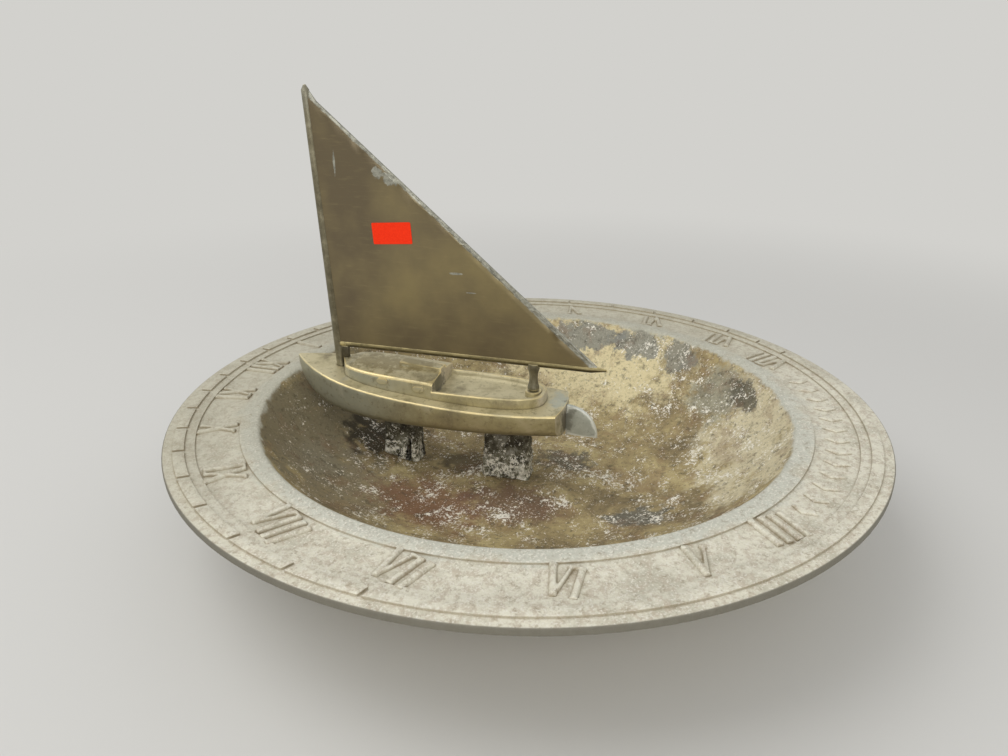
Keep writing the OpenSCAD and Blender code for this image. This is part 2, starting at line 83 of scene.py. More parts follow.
def place(sizes):
    # A point, or a pair of sizes, from millimetres to metres
    return Vector(sizes) * mm


def addNode(tree, kind, *values, **settings):
    # Values fill the node's live sockets in order. None leaves one as it is, and a node stands for its
    # first live output. Settings are the node's properties, and stops a colour ramp's places and colours
    node = tree.nodes.new("ShaderNode" + kind)
    stops = settings.pop("stops", ())
    for _ in stops[2:]:
        node.color_ramp.elements.new(0.5)
    for i, (where, colour) in enumerate(stops):
        node.color_ramp.elements[i].position = where
        node.color_ramp.elements[i].color = hexToLinear(colour)
    for key, value in settings.items():
        setattr(node, key, value)
    for socket, value in zip([s for s in node.inputs if s.enabled], values):
        if isinstance(value, bpy.types.Node):
            value = next(out for out in value.outputs if out.enabled)
        if isinstance(value, bpy.types.NodeSocket):
            tree.links.new(value, socket)
        elif value is not None:
            socket.default_value = hexToLinear(value) if isinstance(value, str) else value
    return node


camData = bpy.data.cameras.new("view")
camData.lens = cameraView["lens"]
camData.sensor_width = 36
camData.clip_start = 0.01
camData.clip_end = 60
camera = bpy.data.objects.new("view", camData)
bpy.context.scene.collection.objects.link(camera)
turn = Vector(cameraView["look"]).to_track_quat("-Z", "Y").to_matrix()
roll = Matrix.Rotation(math.radians(cameraView["roll"]), 3, "Z")
camera.matrix_world = Matrix.Translation(place(cameraView["eye"])) @ (turn @ roll).to_4x4()
bpy.context.scene.camera = camera
bpy.context.scene.view_settings.view_transform = "Standard"
bpy.context.scene.view_settings.look = "None"

bpy.ops.mesh.primitive_plane_add(size=roomLook["floorSize"] * mm, location=(0, 0, 0))
floor = bpy.context.active_object
floor.name = "floor"
floorPaint = bpy.data.materials.new("pale table top")  # matt, so that it shows the shadow and nothing else
floorPaint.use_nodes = True
floorShader = floorPaint.node_tree.nodes["Principled BSDF"]
floorShader.inputs["Base Color"].default_value = hexToLinear(roomLook["floorColour"])
floorShader.inputs["Roughness"].default_value = 0.9
floorShader.inputs["Specular IOR Level"].default_value = 0.2
floorTree = floorPaint.node_tree
away = addNode(floorTree, "VectorMath", addNode(floorTree, "TexCoord").outputs["Object"], operation="LENGTH")
fade = addNode(floorTree, "MapRange", away, roomLook["fadeFrom"] * mm, roomLook["fadeTo"] * mm,
    interpolation_type="SMOOTHSTEP")
rays = addNode(floorTree, "LightPath").outputs
seen = addNode(floorTree, "Math", rays["Is Camera Ray"], rays["Is Glossy Ray"], operation="MAXIMUM")
seenFade = addNode(floorTree, "Math", seen, fade, operation="MULTIPLY")
plain = addNode(floorTree, "Emission", roomLook["backColour"])
faded = addNode(floorTree, "MixShader", seenFade, floorShader, plain)
floorTree.links.new(faded.outputs[0], floorTree.nodes["Material Output"].inputs["Surface"])
floor.data.materials.append(floorPaint)

world = bpy.data.worlds.new("plain room")
world.use_nodes = True
worldTree = world.node_tree
rays = addNode(worldTree, "LightPath").outputs
seen = addNode(worldTree, "Math", rays["Is Camera Ray"], rays["Is Glossy Ray"], operation="MAXIMUM")
lit = addNode(worldTree, "Background", (1, 1, 1, 1), roomLook["worldStrength"])
shown = addNode(worldTree, "Background", roomLook["backColour"])
either = addNode(worldTree, "MixShader", seen, lit, shown)
worldTree.links.new(either.outputs[0], worldTree.nodes["World Output"].inputs["Surface"])
bpy.context.scene.world = world

for name in ("key", "fill"):
    bpy.ops.object.light_add(type="AREA", location=place(roomLook[name + "Place"]))
    lamp = bpy.context.active_object
    lamp.name = name + " lamp"
    lamp.data.energy = roomLook[name + "Energy"]
    lamp.data.size = roomLook[name + "Size"] * mm
    lamp.rotation_euler = (-lamp.location).to_track_quat("-Z", "Y").to_euler()
bpy.ops.object.select_all(action="DESELECT")
print("camera and room set")


# Materials. Object coordinates are in metres, so a noise's scale is 1000 / its size in mm. A noise's values
# are its place, scale, detail, roughness, lacunarity and distortion, and what it gives is about 0.3 to 0.7

def newMaterial(name):
    material = bpy.data.materials.new(name)
    material.use_nodes = True
    tree = material.node_tree
    return material, tree, tree.nodes["Principled BSDF"], addNode(tree, "TexCoord").outputs["Object"]


def coat(tree, under, colour, value, low, high, amount=1.0):
    # Covers a colour with another, up to the amount, as the value goes from low to high
    cover = addNode(tree, "MapRange", value, low, high, 0, amount, interpolation_type="SMOOTHSTEP")
    return addNode(tree, "Mix", cover, under, colour, data_type="RGBA")


def farFrom(tree, spot, ragged, centre, reach):
    # How far a point is from the middle of a ragged patch, 1 at its edge. Reach is its half sizes
    away = addNode(tree, "VectorMath", spot, place(centre), operation="SUBTRACT")
    scaled = addNode(tree, "VectorMath", away, place(reach), operation="DIVIDE")
    far = addNode(tree, "VectorMath", scaled, operation="LENGTH")
    uneven = addNode(tree, "Math", ragged, 3.4, -1.7, operation="MULTIPLY_ADD")
    return addNode(tree, "Math", far, uneven, operation="ADD")


def roughen(tree, shader, parts):
    # Bumps stacked one on another; each part is a height, a strength and a depth in mm
    normal = None
    for height, strength, depth in parts:
        normal = addNode(tree, "Bump", strength, depth * mm, None, height, normal)
    tree.links.new(normal.outputs["Normal"], shader.inputs["Normal"])


dishLook = {
    "pale": "#DFDBC8",  # the greater part of the rim, dry grey beige
    "dull": "#ABA692",  # duller blotches in it
    "dirtAndShade": "#94876D",  # thin brown dirt in the low places, and painted shade in the corners
    "far": "#9D9882",  # darker towards the bow's half and the far side
    "pink": "#BFB39F",  # pinkish brown mottle
    "chalk": "#E6E2D5",  # fine white bloom
    "edge": "#726E61",  # painted shade on the outer edge
    "edgeShadeR": (177.2, 177.8),  # radii at which it begins and is full
    "filmX": (20, 170),  # where the darkening begins and is full towards the evening side
    "filmY": (40, 150),  # and towards the bow
    "bare": "#BFC1B5",  # bluish bare metal round the lip
    "bareR": (162.5, 154.5),  # radii at which it begins and is full, and the blotches draw both in by 15 mm
    # Water stain, from dark to pale
    "bowl": [(0.3, "#6E6248"), (0.44, "#8F7F5C"), (0.56, "#AD9C70"), (0.72, "#CCBD8E")],
    "stainR": (132.3, 130.7),  # radii at which it begins and is full, and its shore carries both out by 3 mm
    "stainZ": (10.5, 11.5),  # it stays over the bowl's floor, off the underside
    "rust": "#84664C",  # reddish brown clouds in the stain
    "grime": "#4B4536",  # dark grime in its pits
    "grimeSizes": (6, 1.8),
    "lime": "#F1ECDE",  # white specks that hard water leaves
    "specks": [(2.3, 0.815, 0.015), (5.5, 0.87, 0.02), (1.4, 0.812, 0.02)],  # size, limit and softness
    "corners": 4,  # how far the dirt and painted shade reach out of the corners
    "metallic": 0.12,
    "rough": 0.62,
    "specular": 0.3,
    # Sizes of the patterns
    "blotch": 14,
    "pebble": 4,
    "grain": 2.6,
    "fine": 0.9,
    "cloud": 26,
    "ragged": 11,  # the stains' outlines
    "reddish": 19,
    "crowd": 16,
    "shore": 9,
}

# Stains in the bowl, with painted light and shade on its walls: centre, half sizes, softness, colour,
# strength
bowlStains = [
    ((108, -22, 44), (40, 56, 34), 0.4, "#E0D3A8", 0.9),  # pale ochre wall on the far side, partly stain and partly painted light
    ((20, -118, 46), (62, 34, 26), 0.4, "#DBD1B0", 0.85),  # cream wall beyond the stern, partly stain and partly painted light
    ((-34, 112, 42), (70, 34, 32), 0.4, "#837A61", 0.9),  # darker wall under the bow, partly stain and partly painted shade
    ((-60, 78, 30), (40, 36, 24), 0.4, "#8A8068", 0.7),
    ((-48, 40, 13), (24, 28, 14), 0.4, "#805A44", 0.75),  # reddish brown beside the legs
    ((-30, -2, 12), (16, 26, 8), 0.35, "#75584A", 0.65),
    ((-32, -68, 16), (11, 16, 10), 0.25, "#66665F", 0.8),  # bare grey patches
    ((22, -19, 12), (10, 14, 8), 0.25, "#55554D", 0.8),
    ((127, -10, 51), (12, 22, 9), 0.15, "#85867E", 0.85),
    ((121, -47, 51), (13, 16, 9), 0.15, "#85867E", 0.85),
    ((105, -74, 50), (14, 12, 9), 0.15, "#7C7D76", 0.8),
    ((66, -100, 44), (22, 17, 14), 0.3, "#8E8D7C", 0.7),
    ((60, -112, 49), (18, 9, 6), 0.25, "#4E4A3B", 0.8),
    ((2, 90, 22), (18, 17, 12), 0.3, "#2F291E", 0.85),  # black spill by the front leg
    # dark patch under the hull between the legs, partly dirt and partly painted shade
    ((4, 36, 12.4), (12, 14, 4), 0.4, "#443C2E", 0.75),
    ((-50, 96, 33), (14, 24, 9), 0.5, "#8E8873", 0.55),  # greyish smear under the bow
]

# Where the specks crowd together: centre, half sizes, softness, how much more
limeCrowds = [
    ((-46, 24, 13), (30, 50, 12), 0.6, 0.045),
    ((-2, 88, 21), (16, 18, 9), 0.5, 0.1),
    ((-30, 2, 12.5), (18, 18, 6), 0.5, 0.02),
    ((-26, -70, 18), (20, 18, 9), 0.5, 0.06),
    ((6, -24, 12.5), (10, 20, 5), 0.5, 0.05),
    ((40, -96, 36), (40, 22, 22), 0.6, 0.04),
    ((-50, 116, 46), (80, 26, 30), 0.5, -0.09),  # few on the steep wall under the bow
    ((112, 10, 46), (34, 60, 30), 0.5, -0.05),
]


def paintDish():
    # Weathered sand-cast aluminium: dry grey beige rim, bluish lip, ochre stained bowl with lime specks
    look = dishLook
    material, tree, shader, spot = newMaterial("weathered cast aluminium")
    xyz = addNode(tree, "SeparateXYZ", spot).outputs
    radius = addNode(tree, "VectorMath", addNode(tree, "CombineXYZ", xyz["X"], xyz["Y"]), operation="LENGTH")
    blotch = addNode(tree, "TexNoise", spot, 1000 / look["blotch"], 6, 0.65)
    pebble = addNode(tree, "TexNoise", spot, 1000 / look["pebble"], 7, 0.72, None, 0.3)
    grain = addNode(tree, "TexNoise", spot, 1000 / look["grain"], 5, 0.7)
    fine = addNode(tree, "TexNoise", spot, 1000 / look["fine"], 3, 0.7)

    rim = coat(tree, look["pale"], look["dull"], blotch, 0.45, 0.66, 0.55)
    rim = coat(tree, rim, look["pink"], pebble, 0.46, 0.6, 0.7)
    ragged = addNode(tree, "Math", blotch, 0.03, radius, operation="MULTIPLY_ADD")
    rim = coat(tree, rim, look["bare"], ragged, *place(look["bareR"]), 0.7)
    rim = coat(tree, rim, look["dirtAndShade"], grain, 0.52, 0.66, 0.5)
    rim = coat(tree, rim, look["chalk"], fine, 0.53, 0.63, 0.85)
    # The rim darker towards the evening side and the bow
    side, ahead = [addNode(tree, "MapRange", xyz[axis], *place(look["film" + axis]), 0, 0.5,
        interpolation_type="SMOOTHSTEP") for axis in "XY"]
    film = addNode(tree, "Math", side, ahead, operation="MAXIMUM")
    rim = addNode(tree, "Mix", film, rim, look["far"], data_type="RGBA")
    # How open each spot is, which puts dirt and painted shade in the corners
    sees = addNode(tree, "AmbientOcclusion", None, look["corners"] * mm, samples=8).outputs["AO"]
    rim = coat(tree, rim, look["dirtAndShade"], sees, 0.94, 0.5, 0.85)
    # Painted shade on the outer edge
    rim = coat(tree, rim, look["edge"], radius, *place(look["edgeShadeR"]), 0.95)

    cloud = addNode(tree, "TexNoise", spot, 1000 / look["cloud"], 7, 0.7, None, 0.4)
    bowl = addNode(tree, "ValToRGB", cloud, stops=look["bowl"])
    edge = addNode(tree, "TexNoise", spot, 1000 / look["ragged"], 7, 0.72)
    for centre, reach, soft, colour, amount in bowlStains:
        bowl = coat(tree, bowl, colour, farFrom(tree, spot, edge, centre, reach), 1 + soft, 1 - soft, amount)
    reddish = addNode(tree, "TexNoise", spot, 1000 / look["reddish"], 7, 0.72, None, 0.3)
    bowl = coat(tree, bowl, look["rust"], reddish, 0.5, 0.62, 0.4)
    for size in look["grimeSizes"]:
        pitted = addNode(tree, "TexNoise", spot, 1000 / size, 9, 0.78)
        bowl = coat(tree, bowl, look["grime"], pitted, 0.53, 0.63, 0.6)
    crowd = addNode(tree, "TexNoise", spot, 1000 / look["crowd"], 5, 0.65)
    for centre, reach, soft, amount in limeCrowds:
        far = farFrom(tree, spot, edge, centre, reach)
        more = addNode(tree, "MapRange", far, 1 + soft, 1 - soft, 0, amount, interpolation_type="SMOOTHSTEP")
        crowd = addNode(tree, "Math", crowd, more, operation="ADD")
    lime = 0
    for size, level, soft in look["specks"]:
        speck = addNode(tree, "TexNoise", spot, 1000 / size, 9, 0.72)
        speck = addNode(tree, "Math", crowd, 0.42, speck, operation="MULTIPLY_ADD")
        flakes = addNode(tree, "MapRange", speck, level, level + soft, interpolation_type="SMOOTHSTEP")
        lime = addNode(tree, "Math", lime, flakes, operation="MAXIMUM")
    bowl = addNode(tree, "Mix", lime, bowl, look["lime"], data_type="RGBA")

    shore = addNode(tree, "TexNoise", spot, 1000 / look["shore"], 5, 0.6)
    shore = addNode(tree, "Math", shore, -0.006, radius, operation="MULTIPLY_ADD")
    wet = addNode(tree, "MapRange", shore, *place(look["stainR"]), interpolation_type="SMOOTHSTEP")
    above = addNode(tree, "MapRange", xyz["Z"], *place(look["stainZ"]), interpolation_type="SMOOTHSTEP")
    inside = addNode(tree, "Math", wet, above, operation="MULTIPLY")
    skin = addNode(tree, "Mix", inside, rim, bowl, data_type="RGBA")
    tree.links.new(skin.outputs[2], shader.inputs["Base Color"])
    shader.inputs["Metallic"].default_value = look["metallic"]
    shader.inputs["Roughness"].default_value = look["rough"]
    shader.inputs["Specular IOR Level"].default_value = look["specular"]
    roughen(tree, shader, [(blotch, 0.35, 1.2), (pebble, 0.5, 0.9), (grain, 0.7, 0.5), (fine, 0.5, 0.2),
        (lime, 0.4, 0.3)])
    return material


# Sizes of the patterns that all the rubbed metals share
metalGrain = {
    "pits": 3,
    "grain": 1.6,
    "ragged": 5,  # the stains' outlines
    "nibbled": 7,  # the rubbed lines' outlines
    "stretch": 24,  # lengths of an edge that are rubbed or not
    "corners": 1.6,  # how far the dirt and painted shade reach out of the corners
}


def paintMetal(look):
    # Old metal with blotches, bright near the edges that the mesh's edgeWear gives the distance to
    material, tree, shader, spot = newMaterial(look["name"])
    facing = addNode(tree, "SeparateXYZ", addNode(tree, "NewGeometry").outputs["Normal"]).outputs
    blotch = addNode(tree, "TexNoise", spot, 1000 / look["blotch"], 6, 0.62)
    edge = addNode(tree, "TexNoise", spot, 1000 / metalGrain["ragged"], 5, 0.7)
    pits = addNode(tree, "TexNoise", spot, 1000 / metalGrain["pits"], 6, 0.75)
    grain = addNode(tree, "TexNoise", spot, 1000 / metalGrain["grain"], 4, 0.7)
    colour = addNode(tree, "ValToRGB", blotch, stops=list(zip((0.32, 0.5, 0.7), look["body"])))
    if "grey" in look:
        y = addNode(tree, "SeparateXYZ", spot).outputs["Y"]
        ragged = addNode(tree, "Math", blotch, 0.05, y, operation="MULTIPLY_ADD")
        ahead = addNode(tree, "MapRange", ragged, *place(look["greyY"]), 0, 0.8,
            interpolation_type="SMOOTHSTEP")
        upright = addNode(tree, "MapRange", facing["Z"], 0.7, 0.3, interpolation_type="SMOOTHSTEP")
        bow = addNode(tree, "Math", ahead, upright, operation="MULTIPLY")
        colour = addNode(tree, "Mix", bow, colour, look["grey"], data_type="RGBA")
    colour = coat(tree, colour, look["body"][2], grain, 0.54, 0.7, 0.45)
    # Colours by where a face looks, painted light and shade
    for axis, low, high, shade, amount in look.get("sides", []):
        some = addNode(tree, "MapRange", blotch, 0.28, 0.56, 0, amount, interpolation_type="SMOOTHSTEP")
        turned = addNode(tree, "MapRange", facing[axis], low, high, interpolation_type="SMOOTHSTEP")
        both = addNode(tree, "Math", some, turned, operation="MULTIPLY")
        colour = addNode(tree, "Mix", both, colour, shade, data_type="RGBA")
    for centre, reach, soft, shade, amount, ragged in look.get("stains", []):
        far = farFrom(tree, spot, edge if ragged else 0.5, centre, reach)
        colour = coat(tree, colour, shade, far, 1 + soft, 1 - soft, amount)
    colour = coat(tree, colour, look["dirtAndShade"], pits, 0.53, 0.66, 0.45)

    width = look["wear"]
    away = addNode(tree, "Attribute", attribute_name="edgeWear").outputs["Fac"]
    uneven = addNode(tree, "TexNoise", spot, 1000 / metalGrain["nibbled"], 5, 0.7)
    near = addNode(tree, "Math", uneven, -2.4 * width, away, operation="MULTIPLY_ADD")
    rubbed = addNode(tree, "MapRange", near, -0.35 * width, -0.95 * width, interpolation_type="SMOOTHSTEP")
    lengths = addNode(tree, "TexNoise", spot, 1000 / metalGrain["stretch"], 4, 0.6)
    here = addNode(tree, "MapRange", lengths, 0.34, 0.56, interpolation_type="SMOOTHSTEP")
    worn = addNode(tree, "Math", rubbed, here, operation="MULTIPLY")
    shine = addNode(tree, "Math", worn, 0.8, operation="MULTIPLY")
    colour = addNode(tree, "Mix", shine, colour, look["bright"], data_type="RGBA")
    # Dirt and painted shade in the corners
    sees = addNode(tree, "AmbientOcclusion", None, metalGrain["corners"] * mm, samples=8).outputs["AO"]
    colour = coat(tree, colour, look["dirtAndShade"], sees, 0.8, 0.45, 0.6)
    tree.links.new(colour.outputs[2], shader.inputs["Base Color"])
    shader.inputs["Metallic"].default_value = look["metallic"]
    gloss = addNode(tree, "Math", worn, -0.12, look["rough"], operation="MULTIPLY_ADD")
    tree.links.new(gloss.outputs[0], shader.inputs["Roughness"])
    roughen(tree, shader, [(blotch, 0.12, 0.5), (pits, 0.3, 0.3), (grain, 0.35, 0.12)])
    return material


hullLook = {
    "name": "rubbed olive brass",  # brown patina, grey-green towards the bow, bright lines along the edges, with painted light and shade
    "body": ("#918768", "#ABA078", "#BEB38F"),
    "bright": "#E2CF97",
    "dirtAndShade": "#6A6146",
    "metallic": 0.55,
    "rough": 0.44,
    "blotch": 16,
    "wear": 0.6,  # width of a rubbed edge
    "grey": "#A4A493",
    "greyY": (62, 118),  # where the bow's grey begins and is full, and the blotches bring both back by 25
    # Colours of faces by where they face, painted light and shade: axis, from, to, colour, amount
    "sides": [
        # painted light on the faces that look up
        (2, 0.3, 0.9, "#D2C8A4", 0.8),
        # painted shade on the faces that look down
        (2, -0.2, -0.7, "#756C50", 0.5),
        # paler grey on the faces that look aft: their grey, partly painted light
        (1, -0.6, -0.9, "#CFC5B0", 0.95),
    ],
    # Marks: centre, half sizes, softness, colour, amount, ragged or not
    "stains": [
        ((0, 53.5, 64.5), (40, 3.4, 1.8), 0.12, "#C6BD9B", 0.8, False),  # portlights
        ((0, 74, 66.7), (40, 3.4, 1.8), 0.12, "#C6BD9B", 0.8, False),
        ((3, -19, 59), (9, 6, 5), 0.4, "#B2B6A8", 0.8, True),  # bare patch on the stern deck
        ((0, 97, 66), (40, 2, 9), 0.4, "#B8B39C", 0.7, True),  # pale fore corners of the trunk
        ((-6, 46, 65), (9, 1.2, 5), 0.3, "#67655A", 0.75, True),  # painted shade on the cabin's end wall
        ((-3, -23, 49), (6, 4, 8), 0.4, "#4A4436", 0.75, True),  # painted shade in the corner beside the rudder
        ((0, 74, 73), (14, 30, 4), 0.3, "#8F8159", 0.78, True),  # browner roof
    ],
}
rigLook = {
    "name": "dull rig brass",  # darker, with a few pale rubs
    "body": ("#5E5845", "#756E57", "#979078"),
    "bright": "#C2B68C",
    "dirtAndShade": "#453F2E",
    "metallic": 0.5,
    "rough": 0.45,
    "blotch": 9,
    "wear": 0.5,
    # painted highlight on the faces that look towards the bow
    "sides": [(1, 0.3, 0.8, "#8C8977", 0.75)],
    "stains": [
        ((0, 112, 208), (12, 10, 9), 0.4, "#8F8C7C", 0.6, True),  # grey masthead
        ((0, 102.5, 72), (10, 2.6, 9), 0.2, "#3E3829", 0.8, False),  # painted shade on the knee behind the mast's foot
    ],
}
boomLook = {
    "name": "rubbed boom brass",  # painted highlight along the top, painted shade nearly black underneath
    "body": ("#6B6142", "#82764F", "#A19367"),
    "bright": "#D9C88F",
    "dirtAndShade": "#453F2E",
    "metallic": 0.5,
    "rough": 0.4,
    "blotch": 9,
    "wear": 0.5,
    # painted highlight on the top, painted shade underneath
    "sides": [(2, 0.5, 0.95, "#DCCB92", 0.95), (2, 0.3, -0.3, "#3A3322", 0.9)],
}
rudderLook = {
    "name": "blue-grey aluminium",  # cool dull metal with a lighter round edge
    "body": ("#A0A397", "#B1B4A8", "#C2C5BA"),
    "bright": "#E9EBE2",
    "dirtAndShade": "#6E6F66",
    "metallic": 0.45,
    "rough": 0.5,
    "blotch": 8,
    "wear": 1.6,
    "stains": [((-1, -22, 50), (6, 4, 10), 0.5, "#5F5B4E", 0.65, True)],  # painted shade on the blade by the transom
}
steelLook = {
    "name": "zinc coated steel",  # plain fasteners under the dish, bright all over as they have no edgeWear
    "body": ("#8B8D8D", "#9A9C9C", "#B0B2B2"),
    "bright": "#C4C6C6",
    "dirtAndShade": "#6C6C6A",
    "metallic": 0.8,
    "rough": 0.42,
    "blotch": 5,
    "wear": 0.3,
}

sailLook = {
    "shades": [(0.2, "#6C6049"), (0.4, "#7E7152"), (0.6, "#8E8059")],  # darker away from the painted sheen
    "sheenZ": 118,  # height of the painted sheen's lightest part
    "brushed": "#988A62",  # fine lines along the sail
    "bare": [(0.36, "#7A7A70"), (0.58, "#A9A89A")],  # grey metal of the strip and the blotches
    "strip": (1.55, 0.85),  # how far from the long edge it ends and is full, and its noise adds 1.3 to both
    "corner": "#3A3323",  # dirt and painted shade beside the mast and the boom
    "metallic": 0.55,
    "rough": 0.42,
    # Sizes of the patterns
    "lines": 1.4,
    "cloud": 38,
    "nibbled": 4.5,  # the bare strip's outline
    "ragged": 6,  # the blotches' outlines
    "mottle": 2.2,
    "corners": 2.5,  # how far the dirt and painted shade reach out of the corners
    # Bare blotches: centre and half sizes
    "rubs": [
        ((-1.3, 77, 172.5), (4, 2.6, 3)),
        ((-1.3, 70.5, 168.5), (4, 3.2, 3)),
        ((-1.3, 100, 177), (4, 0.5, 5)),
        ((-1.3, 37, 124), (4, 3.4, 0.5)),
        ((-1.3, 29, 114.5), (4, 3, 0.3)),
    ],
}


def paintSail():
    # Satin dark brown brass with a painted sheen, bare grey on the bevel of the long edge and in a few rubbed
    # blotches
    material, tree, shader, spot = newMaterial("satin brown brass")
    xyz = addNode(tree, "SeparateXYZ", spot).outputs
    brushed = addNode(tree, "Mapping", spot, None, (0.12, 0, 0), (1.0, 0.12, 1.0))
    lines = addNode(tree, "TexNoise", brushed, 1000 / sailLook["lines"], 4, 0.6)
    cloud = addNode(tree, "TexNoise", spot, 1000 / sailLook["cloud"], 5, 0.55)
    # A painted sheen: lightest at sheenZ, darker above and below it and towards the bow
    off = addNode(tree, "Math", xyz["Z"], sailLook["sheenZ"] * mm, operation="SUBTRACT")
    off = addNode(tree, "Math", off, operation="ABSOLUTE")
    sheen = addNode(tree, "Math", off, -2.9, cloud, operation="MULTIPLY_ADD")
    sheen = addNode(tree, "Math", xyz["Y"], -0.8, sheen, operation="MULTIPLY_ADD")
    colour = addNode(tree, "ValToRGB", sheen, stops=sailLook["shades"])
    colour = coat(tree, colour, sailLook["brushed"], lines, 0.52, 0.75, 0.25)

    leech = addNode(tree, "Attribute", attribute_name="leechWear").outputs["Fac"]
    near = addNode(tree, "TexNoise", spot, 1000 / sailLook["nibbled"], 5, 0.7)
    near = addNode(tree, "Math", near, -2.6, leech, operation="MULTIPLY_ADD")
    bare = addNode(tree, "MapRange", near, *sailLook["strip"], interpolation_type="SMOOTHSTEP")
    edge = addNode(tree, "TexNoise", spot, 1000 / sailLook["ragged"], 5, 0.7)
    for centre, reach in sailLook["rubs"]:
        far = farFrom(tree, spot, edge, centre, reach)
        rub = addNode(tree, "MapRange", far, 1.15, 0.85, interpolation_type="SMOOTHSTEP")
        bare = addNode(tree, "Math", bare, rub, operation="MAXIMUM")
    mottle = addNode(tree, "TexNoise", spot, 1000 / sailLook["mottle"], 5, 0.7)
    mottle = addNode(tree, "ValToRGB", mottle, stops=sailLook["bare"])
    shown = addNode(tree, "Math", bare, 0.92, operation="MULTIPLY")
    colour = addNode(tree, "Mix", shown, colour, mottle, data_type="RGBA")
    # Dirt and painted shade in the corners
    sees = addNode(tree, "AmbientOcclusion", None, sailLook["corners"] * mm, samples=8).outputs["AO"]
    colour = coat(tree, colour, sailLook["corner"], sees, 0.92, 0.5, 0.75)
    tree.links.new(colour.outputs[2], shader.inputs["Base Color"])
    shader.inputs["Metallic"].default_value = sailLook["metallic"]
    shader.inputs["Roughness"].default_value = sailLook["rough"]
    roughen(tree, shader, [(cloud, 0.05, 0.6), (lines, 0.18, 0.06), (bare, 0.25, 0.08)])
    return material


legLook = {
    "crust": [(0.37, "#15120C"), (0.46, "#46422F"), (0.54, "#83806C"), (0.63, "#D2CFC0")],
    "brown": "#2A2318",  # near the hull
    "brownZ": (34, 50),  # heights at which it begins and is full, and its noise brings both down by 15
    "flakes": "#E6E2D4",  # thickest by the feet
    "rough": 0.85,
    "lump": 9,
    "crumb": 2,
}


def paintLegs():
    # Rough cast iron, nearly black, under a crust of white lime
    material, tree, shader, spot = newMaterial("limed cast iron")
    lump = addNode(tree, "TexNoise", spot, 1000 / legLook["lump"], 9, 0.78, None, 0.4)
    crumb = addNode(tree, "TexNoise", spot, 1000 / legLook["crumb"], 6, 0.78)
    colour = addNode(tree, "ValToRGB", lump, stops=legLook["crust"])
    height = addNode(tree, "SeparateXYZ", spot).outputs["Z"]
    height = addNode(tree, "Math", lump, 0.03, height, operation="MULTIPLY_ADD")
    low, high = place(legLook["brownZ"])
    colour = coat(tree, colour, legLook["brown"], height, low, high, 0.6)
    below = addNode(tree, "MapRange", height, high, low, 0, 0.1, interpolation_type="SMOOTHSTEP")
    flakes = addNode(tree, "Math", below, crumb, operation="ADD")
    colour = coat(tree, colour, legLook["flakes"], flakes, 0.585, 0.625, 0.9)
    tree.links.new(colour.outputs[2], shader.inputs["Base Color"])
    shader.inputs["Roughness"].default_value = legLook["rough"]
    roughen(tree, shader, [(lump, 0.8, 1.0), (crumb, 0.7, 0.4)])
    return material


dishPaint = paintDish()
hullPaint = paintMetal(hullLook)
rigPaint = paintMetal(rigLook)
boomPaint = paintMetal(boomLook)
rudderPaint = paintMetal(rudderLook)
steelPaint = paintMetal(steelLook)
sailPaint = paintSail()
legPaint = paintLegs()
print("materials made")


# Pieces that stand for the CAD nodes: the same mesh, merged, with soft edges and edge distances

def pickOut(piece, kind, chosen):
    # Enters edit mode on the piece with just those of its edges or polygons picked that chosen accepts
    bpy.ops.object.select_all(action="DESELECT")
    bpy.context.view_layer.objects.active = piece
    piece.select_set(True)
    bpy.context.tool_settings.mesh_select_mode = (False, kind == "edges", kind == "polygons")
    bpy.ops.object.mode_set(mode="EDIT")
    bpy.ops.mesh.select_all(action="DESELECT")
    bpy.ops.object.mode_set(mode="OBJECT")
    for part in getattr(piece.data, kind):
        part.select = chosen(part)
    bpy.ops.object.mode_set(mode="EDIT")


def splitLarge():
    # Cuts faces with more than four sides into triangles
    bpy.ops.mesh.select_mode(type="FACE")
    bpy.ops.mesh.select_face_by_sides(number=4, type="GREATER", extend=False)
    bpy.ops.mesh.quads_convert_to_tris()


mergeGap = 0.01  # the loose triangles' corners are merged within this distance
flatAngle = 0.3  # degrees, faces that are flatter than this to one another become one
markStep = 0.7  # distance between the points that mark a rubbed edge


